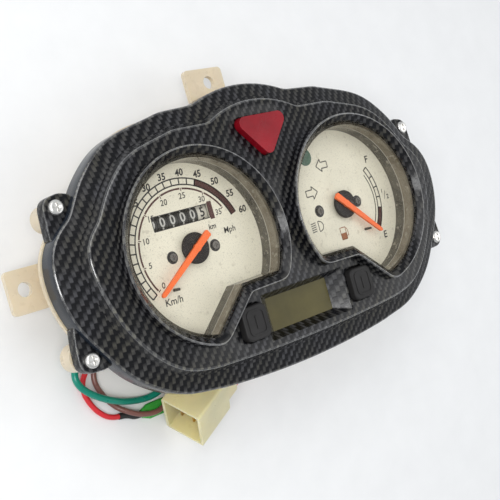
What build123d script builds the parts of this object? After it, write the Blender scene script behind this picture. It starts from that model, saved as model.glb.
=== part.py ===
from build123d import *
import os
from math import cos, pi, radians, sin, tan

# Instrument cluster of a scooter: a carbon-look bezel over two round gauges, a clock and a warning lens.
# The face looks along +Z and the top of the dials points along +Y. Z = 0 is the back of the case.
# Heights in this file are measured from the rims of the gauge collars, so most of them are negative.

os.makedirs("parts", exist_ok=True)

# Driving dimensions, mm
DEPTH = 56.0             # collar rims above the back of the case
FACE_Y = -8.1            # the gauges' centre line, so that case and tabs are centred on Y = 0
GAUGE_X = 45.9           # gauge centres, left and right of the middle
WINDOW_R = 38.5          # gauge opening
COLLAR_WALL = 3.5        # collar wall around the opening
BEVEL_DROP = 2.5         # depth of the collar's inner bevel
PLATEAU = -6.0           # raised face around the collars
CREASE = -10.0           # foot of the riser around the plateau
BAND_EDGE = -12.4        # outer edge of the sloping band
SKIRT_FOOT = -21.8       # bottom of the bezel's skirt
SHELL = 2.2              # bezel wall thickness
CEILING = PLATEAU - SHELL
DIAL_TOP = -15.4
DIAL_THICK = 0.8
BOX_FLOOR = -34.2        # underside of the light box
SHELF = -38.0            # back of the wide part of the case
CASE_WALL = 1.8
BODY_INSET = 3.4         # wide part of the case, inside the line of the plateau's edge
SPEEDO_TUB_R = 28.0      # deep tub behind the speedometer
FUEL_TUB_R = 17.0        # deep tub behind the fuel gauge
TUB_RECESS = 9.0         # the cable's recess behind the speedometer
TAB_TOP = -33.8
TAB_THICK = 2.4
EARS = [(102.3, 30.0), (105.6, -30.2)]      # screw ears on the right side, mirrored to the left
EAR_R = 5.0
EAR_TOP = -16.0
EAR_THICK = 5.8
# how each ear grows out of the skirt: its corners beyond the screw, on the right side
EAR_ROOTS = [[(107.5, 30.3), (108.2, 17.5), (96, 22), (94.5, 36), (102.8, 35.0)],
             [(110.6, -29.6), (108.8, -15.5), (98, -22), (97.5, -34.5), (105.2, -35.2)]]
BOSSES = [(101.6, 27.4, 5.6), (105.6, -28.4, 5.8)]      # under the ears, with their radii
BOSS_FOOT = -30.0
BUTTON_AT = (33.2, -37.2)
BUTTON_SIZE = (13.6, 15.0)
BUTTON_TOP = -2.9
BUTTON_FOOT = -12.0
BUTTON_TRAVEL = 1.0
LCD_Y = -37.6
LCD_GLASS = (37.4, 15.0)
LCD_MOUTH = (50.6, 20.5)
SHAFT_R = 0.8            # needle shafts
RUN = 0.05               # running clearance, on radius
NEEDLE_TOP = -11.4
NEEDLE_THICK = 1.2
SPEEDO_ZERO = 213.7      # direction of the speedometer needle at rest, degrees
FUEL_EMPTY = -43.4       # direction of the fuel needle at rest, degrees
DRUM_R = 7.0
DRUM_PITCH = 5.3
DRUM_Y = 14.0
DRUM_Z = -24.1
DRUM_START = -18.05      # left end of the row of drums, from the gauge's centre
WHEEL_R = 5.0            # odometer worm wheel
WORM_R = 2.2
LAY_X = 16.2             # lay shaft, from the gauge's centre
MESH_GAP = 0.2
PINION_R = 9.2

LAY_Y = DRUM_Y - WHEEL_R - WORM_R - MESH_GAP
LAY_GEAR_R = (LAY_X**2 + LAY_Y**2) ** 0.5 - PINION_R - MESH_GAP
DIAL_FOOT = DIAL_TOP - DIAL_THICK

# Outer edge and plateau edge, as radius about the gauge centre at an angle from +X.
# Each runs from the shoulder to the notch beside the upper ear, and on round the side to the foot.
OUTER_SHOULDER = [(90, 59.2), (60, 58.8), (42, 58.8), (25, 59.2)]
OUTER_SIDE = [(25, 59.2), (17, 63.9), (9, 66.4), (-2, 66.4), (-14, 65.0), (-27, 62.6), (-45, 62.0),
              (-65, 61.2), (-85, 60.0)]
OUTER = (OUTER_SHOULDER, OUTER_SIDE, 65.7, (27.2, 60.0), -62.7)
RAISED_SHOULDER = [(90, 49.6), (60, 49.0), (42, 48.7), (24, 49.3)]
RAISED_SIDE = [(24, 49.3), (17, 52.2), (10, 53.7), (0, 52.9), (-14, 51.6), (-30, 51.2), (-48, 51.8),
               (-62, 52.0), (-76, 50.6), (-88, 50.0)]
RAISED = (RAISED_SHOULDER, RAISED_SIDE, 56.5, (26.0, 49.8), -51.3)


def level(height):
    """Plane parallel to the face, at a height above the collar rims."""
    return Plane((0, FACE_Y, DEPTH + height))


def spot(x, y, height):
    """Point of the part's frame, from its place on the face and its height."""
    return Vector(x, y + FACE_Y, height + DEPTH)


def mirrored(places):
    """The places themselves and their mirror images left and right."""
    return [(side * x, y) for x, y in places for side in (1, -1)]


def edge_face(edge, grow=0.0):
    """Face inside one of the bezel's edges, moved outwards by grow."""
    shoulder, side, top, dip, foot = edge

    def curve(table):
        return [(GAUGE_X + (r + grow) * cos(radians(a)), (r + grow) * sin(radians(a))) for a, r in table]

    brow = curve(shoulder)
    flank = curve(side)
    with BuildLine() as half:
        TangentArc((0, top + grow), (dip[0], dip[1] + grow), tangent=(1, 0))
        Line((dip[0], dip[1] + grow), brow[0])
        Spline(*brow)
        Spline(*flank)
        TangentArc((0, foot - grow), flank[-1], tangent=(1, 0))
        mirror(half.line, about=Plane.YZ)
    make_face(half.edges())


def gauge_face(side, grow=0.0):
    """A gauge opening: a circle, cut off by the ledge that the buttons stand on. side is -1 or 1."""
    drop = grow * 0.93
    with Locations((side * GAUGE_X, 0)):
        Circle(WINDOW_R + grow)
    ledge = [(-45, -20.3 - drop), (-11.5, -21 - drop), (9, -39.2 - drop), (9, -70), (-45, -70)]
    Polygon(*[(side * (GAUGE_X + x), y) for x, y in ledge], align=None, mode=Mode.SUBTRACT)


def triangle_face(grow=0.0):
    """The warning lens's rounded triangle."""
    plain = Polygon((-16.8, 49.2), (16.8, 49.2), (0, 29.6), align=None)
    fillet(plain.vertices(), 3.2)
    if grow:
        offset(amount=grow)


def finish(piece, name):
    """Label the piece and write its STEP file."""
    piece.part.label = name
    export_step(piece.part, f"parts/{name}.step")


# Bezel: skirt, sloping band, riser, plateau and the two collars, as one moulding
with BuildPart() as bezel_cover:
    with BuildSketch(level(SKIRT_FOOT)):
        edge_face(OUTER)
    extrude(amount=BAND_EDGE - SKIRT_FOOT)
    with BuildSketch(level(BAND_EDGE)):
        edge_face(OUTER)
    with BuildSketch(level(CREASE)):
        edge_face(RAISED, 1.6)
    loft(ruled=True)
    with BuildSketch(level(CREASE)):
        edge_face(RAISED, 1.6)
    with BuildSketch(level(PLATEAU)):
        edge_face(RAISED)
    loft(ruled=True)
    with BuildSketch(level(PLATEAU - 1)):
        gauge_face(1, COLLAR_WALL)
        gauge_face(-1, COLLAR_WALL)
    extrude(amount=1 - PLATEAU)
    with BuildSketch(level(SKIRT_FOOT)):
        edge_face(OUTER, -SHELL)
    extrude(amount=BAND_EDGE - SHELL - SKIRT_FOOT, mode=Mode.SUBTRACT)
    with BuildSketch(level(BAND_EDGE - SHELL - 0.1)):
        edge_face(RAISED, -0.8)
    extrude(amount=CEILING - BAND_EDGE + SHELL + 0.1, mode=Mode.SUBTRACT)
    for gauge_side in (1, -1):
        with BuildSketch(level(CEILING - 1)):
            gauge_face(gauge_side)
        extrude(amount=1 - CEILING, mode=Mode.SUBTRACT)
        with BuildSketch(level(-BEVEL_DROP)):
            gauge_face(gauge_side)
        with BuildSketch(level(0)):
            gauge_face(gauge_side, COLLAR_WALL - 0.3)
        loft(ruled=True, mode=Mode.SUBTRACT)
    # funnel around the clock glass
    with BuildSketch(level(CEILING + 0.2)):
        with Locations((0, LCD_Y)):
            Rectangle(LCD_MOUTH[0] + 1.6, LCD_MOUTH[1] + 3.2)
    with BuildSketch(level(-12.2)):
        with Locations((0, LCD_Y)):
            Rectangle(LCD_GLASS[0] + 3.2, LCD_GLASS[1] + 3.2)
    loft(ruled=True)
    with BuildSketch(level(PLATEAU)):
        with Locations((0, LCD_Y)):
            Rectangle(*LCD_MOUTH)
    with BuildSketch(level(-12.2)):
        with Locations((0, LCD_Y)):
            Rectangle(*LCD_GLASS)
    loft(ruled=True, mode=Mode.SUBTRACT)
    with BuildSketch(level(-13)):
        with Locations(*mirrored([BUTTON_AT])):
            RectangleRounded(BUTTON_SIZE[0] + 0.8, BUTTON_SIZE[1] + 0.8, 3.4)
    extrude(amount=13, mode=Mode.SUBTRACT)
    with BuildSketch(level(CEILING - 1)):
        triangle_face(0.3)
    extrude(amount=4, mode=Mode.SUBTRACT)
    # screw ears, hugging the skirt
    with BuildSketch(level(EAR_TOP - EAR_THICK)):
        with Locations(*mirrored(EARS)):
            Circle(EAR_R)
        for root in EAR_ROOTS:
            Polygon(*root, align=None)
            Polygon(*[(-x, y) for x, y in root], align=None)
        edge_face(OUTER, 0)
    extrude(amount=EAR_THICK)
    with BuildSketch(level(EAR_TOP - EAR_THICK - 0.1)):
        edge_face(OUTER, -SHELL)
    extrude(amount=EAR_THICK + 1.2, mode=Mode.SUBTRACT)
    with BuildSketch(level(EAR_TOP - EAR_THICK)):
        with Locations(*mirrored(EARS)):
            Circle(1.7)
    extrude(amount=EAR_THICK, mode=Mode.SUBTRACT)
finish(bezel_cover, "bezel_cover")

# Clear lenses: a flat window on a short cup, with a flange that sits on the dial's edge
for gauge_side, lens_name in ((-1, "left_lens"), (1, "right_lens")):
    with BuildPart() as lens:
        with BuildSketch(level(DIAL_TOP + 0.1)):
            gauge_face(gauge_side, -0.3)
        extrude(amount=-2.9 - DIAL_TOP - 0.1)
        with BuildSketch(level(DIAL_TOP + 0.1)):
            gauge_face(gauge_side, 2.4)
        extrude(amount=1.2)
        with BuildSketch(level(DIAL_TOP)):
            gauge_face(gauge_side, -1.4)
        extrude(amount=-4.1 - DIAL_TOP, mode=Mode.SUBTRACT)
    finish(lens, lens_name)

# Red warning lens, with its flange under the bezel
with BuildPart() as triangle_lens:
    with BuildSketch(level(-10.0)):
        triangle_face()
    extrude(amount=7.2)
    with BuildSketch(level(-10.0)):
        triangle_face(1.8)
    extrude(amount=1.5)
    with BuildSketch(level(-10.0)):
        triangle_face(-1.6)
    extrude(amount=5.4, mode=Mode.SUBTRACT)
finish(triangle_lens, "triangle_lens")

# Rubber push buttons with their flanges
for gauge_side, button_name in ((-1, "left_button"), (1, "right_button")):
    with BuildPart() as button:
        with BuildSketch(level(BUTTON_FOOT)):
            with Locations((gauge_side * BUTTON_AT[0], BUTTON_AT[1])):
                RectangleRounded(*BUTTON_SIZE, 3.0)
        extrude(amount=BUTTON_TOP - BUTTON_FOOT)
        fillet(button.edges().group_by(Axis.Z)[-1], 0.9)
        with BuildSketch(level(BUTTON_TOP - 0.2)):
            with Locations((gauge_side * BUTTON_AT[0], BUTTON_AT[1])):
                RectangleRounded(9.6, 11.0, 2.4)
                RectangleRounded(8.2, 9.6, 1.8, mode=Mode.SUBTRACT)
                Rectangle(1.1, 5.6)
        extrude(amount=0.5)
        with BuildSketch(level(CEILING - 1.4)):
            with Locations((gauge_side * BUTTON_AT[0], BUTTON_AT[1])):
                RectangleRounded(BUTTON_SIZE[0] + 0.6, BUTTON_SIZE[1] + 2.4, 3.0)
        extrude(amount=1.1)
    finish(button, button_name)

# Clock: glass, backlight block, circuit board and the two small switches under the buttons
with BuildPart() as lcd_glass:
    with BuildSketch(level(-14.1)):
        with Locations((0, LCD_Y)):
            Rectangle(LCD_GLASS[0] + 3.6, LCD_GLASS[1] + 2.6)
    extrude(amount=1.8)
finish(lcd_glass, "lcd_glass")

with BuildPart() as lcd_backlight:
    with BuildSketch(level(-16.9)):
        with Locations((0, LCD_Y)):
            Rectangle(LCD_GLASS[0] + 3.0, LCD_GLASS[1] + 2.0)
    extrude(amount=2.7)
finish(lcd_backlight, "lcd_backlight")

with BuildPart() as clock_board:
    with BuildSketch(level(-18.6)):
        with Locations((0, -37.7)):
            Rectangle(76, 16.6)
        chamfer(vertices(), 1.5)
    extrude(amount=1.6)
finish(clock_board, "clock_board")

with BuildPart() as button_switches:
    with BuildSketch(level(-16.9)):
        with Locations(*mirrored([BUTTON_AT])):
            Rectangle(6.2, 6.2)
    extrude(amount=3.0)
    with BuildSketch(level(-14.0)):
        with Locations(*mirrored([BUTTON_AT])):
            Circle(1.6)
    extrude(amount=BUTTON_FOOT - BUTTON_TRAVEL - 0.3 + 14.0)
finish(button_switches, "button_switches")

# Dials: printed plates with the holes that the works need
SPEEDO_SCREWS = [(-11.2, -1.2), (11.6, -1.2)]
FUEL_SCREWS = [(10.5, -0.3), (-15.6, 0.1)]
SPEEDO_PIN = (-14.7, -14.3)
FUEL_PIN = (11.0, -14.8)

with BuildPart() as speedo_dial:
    with BuildSketch(level(DIAL_FOOT)):
        gauge_face(-1, 1.2)
        with Locations((-GAUGE_X - 1.5, DRUM_Y)):
            Rectangle(29.4, 6.2, mode=Mode.SUBTRACT)
        with Locations((-GAUGE_X, 0)):
            Circle(1.6, mode=Mode.SUBTRACT)
            with Locations(*SPEEDO_SCREWS):
                Circle(1.1, mode=Mode.SUBTRACT)
            with Locations(SPEEDO_PIN):
                Circle(0.7, mode=Mode.SUBTRACT)
    extrude(amount=DIAL_THICK)
finish(speedo_dial, "speedo_dial")

with BuildPart() as fuel_dial:
    with BuildSketch(level(DIAL_FOOT)):
        gauge_face(1, 1.2)
        with Locations((GAUGE_X, 0)):
            Circle(1.6, mode=Mode.SUBTRACT)
            with Locations(*FUEL_SCREWS):
                Circle(1.1, mode=Mode.SUBTRACT)
            with Locations(FUEL_PIN):
                Circle(0.7, mode=Mode.SUBTRACT)
    extrude(amount=DIAL_THICK)
finish(fuel_dial, "fuel_dial")

screw_places = [(-GAUGE_X + x, y) for x, y in SPEEDO_SCREWS] + [(GAUGE_X + x, y) for x, y in FUEL_SCREWS]
pin_places = [(-GAUGE_X + SPEEDO_PIN[0], SPEEDO_PIN[1]), (GAUGE_X + FUEL_PIN[0], FUEL_PIN[1])]

with BuildPart() as dial_screws:
    with BuildSketch(level(DIAL_TOP)):
        with Locations(*screw_places):
            Circle(1.7)
    extrude(amount=0.9)
    with BuildSketch(level(DIAL_TOP - 4)):
        with Locations(*screw_places):
            Circle(0.9)
    extrude(amount=4)
    with BuildSketch(level(DIAL_TOP + 0.5)):
        with Locations(*screw_places):
            Rectangle(2.2, 0.5)
            Rectangle(0.5, 2.2)
    extrude(amount=0.5, mode=Mode.SUBTRACT)
finish(dial_screws, "dial_screws")

with BuildPart() as stop_pins:
    with BuildSketch(level(DIAL_FOOT - 1.5)):
        with Locations(*pin_places):
            Circle(0.6)
    extrude(amount=-11.6 - DIAL_FOOT + 1.5)
finish(stop_pins, "stop_pins")

# Needles: a tapered blade with a short tail, on a dark hub disc
for centre, angle, tip, tail, needle_name, disc_name in (
    (-GAUGE_X, SPEEDO_ZERO, 27.9, 9.2, "speedo_needle", "speedo_hub_disc"),
    (GAUGE_X, FUEL_EMPTY, 25.6, 7.7, "fuel_needle", "fuel_hub_disc"),
):
    with BuildPart() as needle:
        with BuildSketch(level(NEEDLE_TOP - NEEDLE_THICK)):
            with Locations(Location((centre, 0, 0), (0, 0, angle))):
                Polygon((-tail, -1.1), (-tail + 0.5, -1.6), (tip - 0.8, -0.9), (tip, -0.4), (tip, 0.4),
                        (tip - 0.8, 0.9), (-tail + 0.5, 1.6), (-tail, 1.1), align=None)
                Circle(1.7)
        extrude(amount=NEEDLE_THICK)
        with BuildSketch(level(NEEDLE_TOP - NEEDLE_THICK)):
            with Locations((centre, 0)):
                Circle(SHAFT_R)
        extrude(amount=NEEDLE_THICK - 0.3, mode=Mode.SUBTRACT)
    finish(needle, needle_name)
    with BuildPart() as hub_disc:
        with BuildSketch(level(NEEDLE_TOP - NEEDLE_THICK - 1.2)):
            with Locations((centre, 0)):
                Circle(6.8)
                Circle(SHAFT_R, mode=Mode.SUBTRACT)
        extrude(amount=1.2)
        fillet(hub_disc.edges().group_by(Axis.Z)[-1].sort_by(SortBy.LENGTH)[-1], 0.5)
    finish(hub_disc, disc_name)

# Speedometer works: needle shaft, drag cup and hairspring turn together over the spinning magnet
CUP_TOP = -37.9
with BuildPart() as speedo_shaft:
    with BuildSketch(level(-39.6)):
        with Locations((-GAUGE_X, 0)):
            Circle(SHAFT_R)
    extrude(amount=NEEDLE_TOP - 0.35 + 39.6)
finish(speedo_shaft, "speedo_shaft")

with BuildPart() as drag_cup:
    with BuildSketch(level(-42.5)):
        with Locations((-GAUGE_X, 0)):
            Circle(11.9)
    extrude(amount=CUP_TOP + 42.5)
    with BuildSketch(level(-42.5)):
        with Locations((-GAUGE_X, 0)):
            Circle(11.2)
    extrude(amount=CUP_TOP - 0.8 + 42.5, mode=Mode.SUBTRACT)
    with BuildSketch(level(-42.5)):
        with Locations((-GAUGE_X, 0)):
            Circle(SHAFT_R)
    extrude(amount=5, mode=Mode.SUBTRACT)
finish(drag_cup, "drag_cup")

with BuildPart() as hairspring:
    with BuildSketch(level(-37.6)):
        with Locations((-GAUGE_X, 0)):
            Circle(5.4)
            Circle(4.9, mode=Mode.SUBTRACT)
            Circle(3.9)
            Circle(3.4, mode=Mode.SUBTRACT)
            Circle(2.4)
            Circle(SHAFT_R, mode=Mode.SUBTRACT)
            with Locations((0, 3.9), (0, -2.9)):
                Rectangle(0.6, 2.6)
    extrude(amount=0.7)
finish(hairspring, "hairspring")

with BuildPart() as input_spindle:
    with BuildSketch(level(-54.0)):
        with Locations((-GAUGE_X, 0)):
            Circle(2.2)
    extrude(amount=11.0)
    with BuildSketch(level(-44.6)):
        with Locations((-GAUGE_X, 0)):
            Circle(PINION_R)
    extrude(amount=1.2)
    with BuildSketch(level(-54.0)):
        with Locations((-GAUGE_X, 0)):
            Rectangle(2.6, 2.6)
    extrude(amount=6.0, mode=Mode.SUBTRACT)
finish(input_spindle, "input_spindle")

with BuildPart() as magnet:
    with BuildSketch(level(-43.0)):
        with Locations((-GAUGE_X, 0)):
            Circle(10.5)
    extrude(amount=2.4)
finish(magnet, "magnet")

with BuildPart() as speedo_frame:
    with BuildSketch(level(-36.4)):
        with Locations((-GAUGE_X, 0)):
            Circle(20)
            Circle(SHAFT_R + RUN, mode=Mode.SUBTRACT)
            with Locations((LAY_X, LAY_Y)):
                Circle(1.1 + RUN, mode=Mode.SUBTRACT)
    extrude(amount=2.0)
    with BuildSketch(level(-45.0 + 0.1)):
        with Locations((-GAUGE_X, 0)):
            with Locations((-15.5, -6), (-9, 14.5), (2, -16.5)):
                Circle(2.2)
    extrude(amount=8.6)
finish(speedo_frame, "speedo_frame")

with BuildPart() as speedo_spigot:
    with BuildSketch(level(-DEPTH + 0.4)):
        with Locations((-GAUGE_X, 0)):
            Circle(6.0)
            Circle(2.2 + RUN, mode=Mode.SUBTRACT)
    extrude(amount=DEPTH - 0.4 - 47.1)
    with BuildSketch(level(-47.1)):
        with Locations((-GAUGE_X, 0)):
            Circle(4.0)
            Circle(2.2 + RUN, mode=Mode.SUBTRACT)
    extrude(amount=2.2)
finish(speedo_spigot, "speedo_spigot")

with BuildPart() as lay_shaft:
    with BuildSketch(level(-44.9)):
        with Locations((-GAUGE_X + LAY_X, LAY_Y)):
            Circle(1.1)
    extrude(amount=24.9)
    with BuildSketch(level(-44.6)):
        with Locations((-GAUGE_X + LAY_X, LAY_Y)):
            Circle(LAY_GEAR_R)
    extrude(amount=1.2)
    with BuildSketch(level(DRUM_Z - 3.4)):
        with Locations((-GAUGE_X + LAY_X, LAY_Y)):
            Circle(WORM_R)
    extrude(amount=6.4)
finish(lay_shaft, "lay_shaft")

# Odometer: six drums and a worm wheel on one fixed axle, in a bracket on the light box's floor
with BuildPart() as odometer_bracket:
    with BuildSketch(level(BOX_FLOOR + 1.8)):
        with Locations((-GAUGE_X - 0.35, DRUM_Y + 2)):
            Rectangle(38.3, 7)
    extrude(amount=1.0)
    for ear_at in (-18.9, 18.2):
        with BuildSketch(level(BOX_FLOOR + 1.8)):
            with Locations((-GAUGE_X + ear_at, DRUM_Y + 0.75)):
                Rectangle(1.2, 9.5)
        extrude(amount=DRUM_Z + 4 - BOX_FLOOR - 1.8)
    with BuildSketch(Plane(spot(-GAUGE_X - 21, DRUM_Y, DRUM_Z), x_dir=(0, 1, 0), z_dir=(1, 0, 0))):
        Circle(1.0)
    extrude(amount=42, mode=Mode.SUBTRACT)
finish(odometer_bracket, "odometer_bracket")

with BuildPart() as odometer_axle:
    with BuildSketch(Plane(spot(-GAUGE_X - 19.7, DRUM_Y, DRUM_Z), x_dir=(0, 1, 0), z_dir=(1, 0, 0))):
        Circle(1.0)
    extrude(amount=38.7)
finish(odometer_axle, "odometer_axle")

for drum in range(6):
    with BuildPart() as odometer_drum:
        drum_at = -GAUGE_X + DRUM_START + drum * DRUM_PITCH + 0.15
        with BuildSketch(Plane(spot(drum_at, DRUM_Y, DRUM_Z), x_dir=(0, 1, 0), z_dir=(1, 0, 0))):
            Circle(DRUM_R)
            Circle(1.0 + RUN, mode=Mode.SUBTRACT)
        extrude(amount=DRUM_PITCH - 0.3)
    finish(odometer_drum, f"odometer_drum_{drum + 1}")

with BuildPart() as odometer_wheel:
    wheel_at = -GAUGE_X + DRUM_START + 6 * DRUM_PITCH - 0.15
    with BuildSketch(Plane(spot(wheel_at, DRUM_Y, DRUM_Z), x_dir=(0, 1, 0), z_dir=(1, 0, 0))):
        Circle(2.4)
        Circle(1.0 + RUN, mode=Mode.SUBTRACT)
    extrude(amount=1.7)
    with BuildSketch(Plane(spot(wheel_at + 1.6, DRUM_Y, DRUM_Z), x_dir=(0, 1, 0), z_dir=(1, 0, 0))):
        Circle(WHEEL_R)
        Circle(1.0 + RUN, mode=Mode.SUBTRACT)
    extrude(amount=2.0)
finish(odometer_wheel, "odometer_wheel")

# Fuel gauge works: a rotor on the needle's shaft inside a coil body
with BuildPart() as fuel_movement:
    with BuildSketch(level(-51.5)):
        with Locations((GAUGE_X, 0)):
            Circle(12.5)
    extrude(amount=BOX_FLOOR - 0.2 + 51.5)
    with BuildSketch(level(-46.5)):
        with Locations((GAUGE_X, 0)):
            Circle(9.0)
    extrude(amount=5.0, mode=Mode.SUBTRACT)
    with BuildSketch(level(-42.0)):
        with Locations((GAUGE_X, 0)):
            Circle(SHAFT_R + RUN)
    extrude(amount=10, mode=Mode.SUBTRACT)
finish(fuel_movement, "fuel_movement")

with BuildPart() as fuel_shaft:
    with BuildSketch(level(-46.0)):
        with Locations((GAUGE_X, 0)):
            Circle(SHAFT_R)
    extrude(amount=NEEDLE_TOP - 0.35 + 46.0)
finish(fuel_shaft, "fuel_shaft")

with BuildPart() as fuel_rotor:
    with BuildSketch(level(-46.0)):
        with Locations((GAUGE_X, 0)):
            Circle(8.6)
            Circle(SHAFT_R, mode=Mode.SUBTRACT)
    extrude(amount=3.6)
finish(fuel_rotor, "fuel_rotor")

# Light box: two white cups that carry the dials, joined in the middle
SPEEDO_BULBS = [(33.0, 60), (33.0, 150), (33.0, 225)]
FUEL_BULBS = [(22.6, 106), (22.6, 152), (22.6, 199), (30.0, 50)]
bulb_places = [(-GAUGE_X + r * cos(radians(a)), r * sin(radians(a))) for r, a in SPEEDO_BULBS]
bulb_places += [(GAUGE_X + r * cos(radians(a)), r * sin(radians(a))) for r, a in FUEL_BULBS]
bulb_places += [(0, 42)]
BULB_R = 2.6
HOLDER_R = 4.2

with BuildPart() as light_box:
    with BuildSketch(level(BOX_FLOOR)):
        gauge_face(1, 1.4)
        gauge_face(-1, 1.4)
        Rectangle(30, 20)
    extrude(amount=1.6)
    for gauge_side in (1, -1):
        with BuildSketch(level(BOX_FLOOR)):
            gauge_face(gauge_side, 1.4)
        extrude(amount=DIAL_FOOT - 0.1 - BOX_FLOOR)
        with BuildSketch(level(BOX_FLOOR + 1.6)):
            gauge_face(gauge_side, -0.4)
        extrude(amount=DIAL_FOOT - BOX_FLOOR, mode=Mode.SUBTRACT)
    with BuildSketch(level(BOX_FLOOR)):
        with Locations(*screw_places):
            Circle(2.3)
    extrude(amount=DIAL_FOOT - 0.1 - BOX_FLOOR)
    with BuildSketch(level(DIAL_FOOT - 5)):
        with Locations(*screw_places):
            Circle(0.95)
    extrude(amount=5, mode=Mode.SUBTRACT)
    with BuildSketch(level(BOX_FLOOR)):
        with Locations((-GAUGE_X, 0), (GAUGE_X, 0)):
            Circle(2.0)
        with Locations((-GAUGE_X + LAY_X, LAY_Y)):
            Circle(1.5)
        with Locations(*bulb_places):
            Circle(BULB_R + 1.2)
    extrude(amount=1.6, mode=Mode.SUBTRACT)
finish(light_box, "light_box")

# Rear case: flange under the skirt, wide body, two deep tubs, screw bosses and three mounting tabs
TAB_SIDE_HOLE = (115.4, 3.0)
TAB_TOP_HOLE = (1.5, 72.5)
TAB_HOLE_R = 3.0
GROMMETS = [(-80.0, -22.0), (14.0, -41.0)]
GROMMET_R = 5.4
GROMMET_FACE = SHELF - 1.7

with BuildPart() as rear_case:
    with BuildSketch(level(-24.1)):
        edge_face(OUTER, 0.5)
        Rectangle(240, 44, mode=Mode.INTERSECT)
        edge_face(OUTER, -1.0)
    extrude(amount=2.0)
    with BuildSketch(level(SHELF)):
        edge_face(RAISED, -BODY_INSET)
    extrude(amount=14)
    with BuildSketch(level(-DEPTH)):
        with Locations((-GAUGE_X, 0)):
            Circle(SPEEDO_TUB_R)
        with Locations((GAUGE_X, 0)):
            Circle(FUEL_TUB_R)
    extrude(amount=DEPTH + SHELF + 1)
    # bosses for the case screws, cut back where the skirt stands
    with BuildSketch(level(BOSS_FOOT)):
        for boss_x, boss_y, boss_r in BOSSES:
            with Locations(*mirrored([(boss_x, boss_y)])):
                Circle(boss_r)
    extrude(amount=-22.1 - BOSS_FOOT)
    with BuildSketch(level(-22.2)):
        for boss_x, boss_y, boss_r in BOSSES:
            with Locations(*mirrored([(boss_x, boss_y)])):
                Circle(boss_r)
        with BuildSketch(mode=Mode.SUBTRACT):
            edge_face(OUTER, 0.2)
    extrude(amount=EAR_TOP - EAR_THICK - 0.1 + 22.2)
    # tabs
    with BuildSketch(level(TAB_TOP - TAB_THICK)):
        with Locations((108.5, 2.5), (-108.5, 2.5)):
            RectangleRounded(28, 18, 2.0)
        with Locations((-0.5, 65)):
            RectangleRounded(22, 28.8, 2.0)
    extrude(amount=TAB_THICK)
    with BuildSketch(level(SHELF + CASE_WALL)):
        edge_face(RAISED, -BODY_INSET - CASE_WALL)
    extrude(amount=20, mode=Mode.SUBTRACT)
    with BuildSketch(level(-DEPTH + TUB_RECESS + 2)):
        with Locations((-GAUGE_X, 0)):
            Circle(SPEEDO_TUB_R - 2)
    extrude(amount=20, mode=Mode.SUBTRACT)
    with BuildSketch(level(-DEPTH)):
        with Locations((-GAUGE_X, 0)):
            Circle(SPEEDO_TUB_R - 2)
    extrude(amount=TUB_RECESS, mode=Mode.SUBTRACT)
    with BuildSketch(level(-DEPTH + 2)):
        with Locations((GAUGE_X, 0)):
            Circle(FUEL_TUB_R - 2)
    extrude(amount=20, mode=Mode.SUBTRACT)
    with BuildSketch(level(-DEPTH)):
        with Locations((-GAUGE_X, 0)):
            Circle(4.05)
        with Locations(*bulb_places):
            Circle(HOLDER_R - 0.7)
        with Locations(*GROMMETS):
            Circle(GROMMET_R - 1.1)
        with Locations(*mirrored([TAB_SIDE_HOLE]), TAB_TOP_HOLE):
            Circle(TAB_HOLE_R)
    extrude(amount=22.5, mode=Mode.SUBTRACT)
    with BuildSketch(level(BOSS_FOOT + 1.5)):
        with Locations(*mirrored(EARS)):
            Circle(1.45)
    extrude(amount=12, mode=Mode.SUBTRACT)
finish(rear_case, "rear_case")

with BuildPart() as case_screws:
    with BuildSketch(level(EAR_TOP)):
        with Locations(*mirrored(EARS)):
            Circle(3.1)
    extrude(amount=2.4)
    fillet(case_screws.edges().group_by(Axis.Z)[-1], 1.1)
    with BuildSketch(level(BOSS_FOOT + 2.5)):
        with Locations(*mirrored(EARS)):
            Circle(1.4)
    extrude(amount=EAR_TOP - BOSS_FOOT - 2.5)
    with BuildSketch(level(EAR_TOP + 1.2)):
        with Locations(*mirrored(EARS)):
            Rectangle(3.6, 0.9)
            Rectangle(0.9, 3.6)
    extrude(amount=1.3, mode=Mode.SUBTRACT)
finish(case_screws, "case_screws")

with BuildPart() as bulb_holders:
    with BuildSketch(level(SHELF - 6)):
        with Locations(*bulb_places):
            Circle(HOLDER_R)
    extrude(amount=5.9)
    with BuildSketch(level(SHELF - 0.2)):
        with Locations(*bulb_places):
            Circle(HOLDER_R - 0.8)
            Circle(BULB_R - 0.6, mode=Mode.SUBTRACT)
    extrude(amount=3.2)
finish(bulb_holders, "bulb_holders")

with BuildPart() as bulbs:
    with BuildSketch(level(SHELF + 0.1)):
        with Locations(*bulb_places):
            Circle(BULB_R - 0.7)
    extrude(amount=9.4)
    fillet(bulbs.edges().group_by(Axis.Z)[-1], 1.5)
finish(bulbs, "bulbs")

# Grommets where the wires leave the case
with BuildPart() as wire_grommets:
    with BuildSketch(level(GROMMET_FACE)):
        with Locations(*GROMMETS):
            Circle(GROMMET_R)
    extrude(amount=1.6)
    with BuildSketch(level(SHELF - 0.2)):
        with Locations(*GROMMETS):
            Circle(GROMMET_R - 1.2)
    extrude(amount=2.6)
finish(wire_grommets, "wire_grommets")

# Nine-way connector, lying on one long edge and leaning back over the wires
PLUG_CORNER = (-58.3, -74.4)         # mouth end of the edge it lies on
PLUG_TURN = 28.7                     # its axis, degrees from +X, from the mouth to the rear
PLUG_TILT = 42.0                     # how far its wide side leans up from the floor
PLUG_WIDE = 24.0
PLUG_THICK = 20.0
PLUG_FRONT = 22.0
PLUG_REAR = 9.0
WAY_PITCH = (7.6, 6.4)
CAVITY_START = 12.0
CAVITY_END = 21.0

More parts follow.
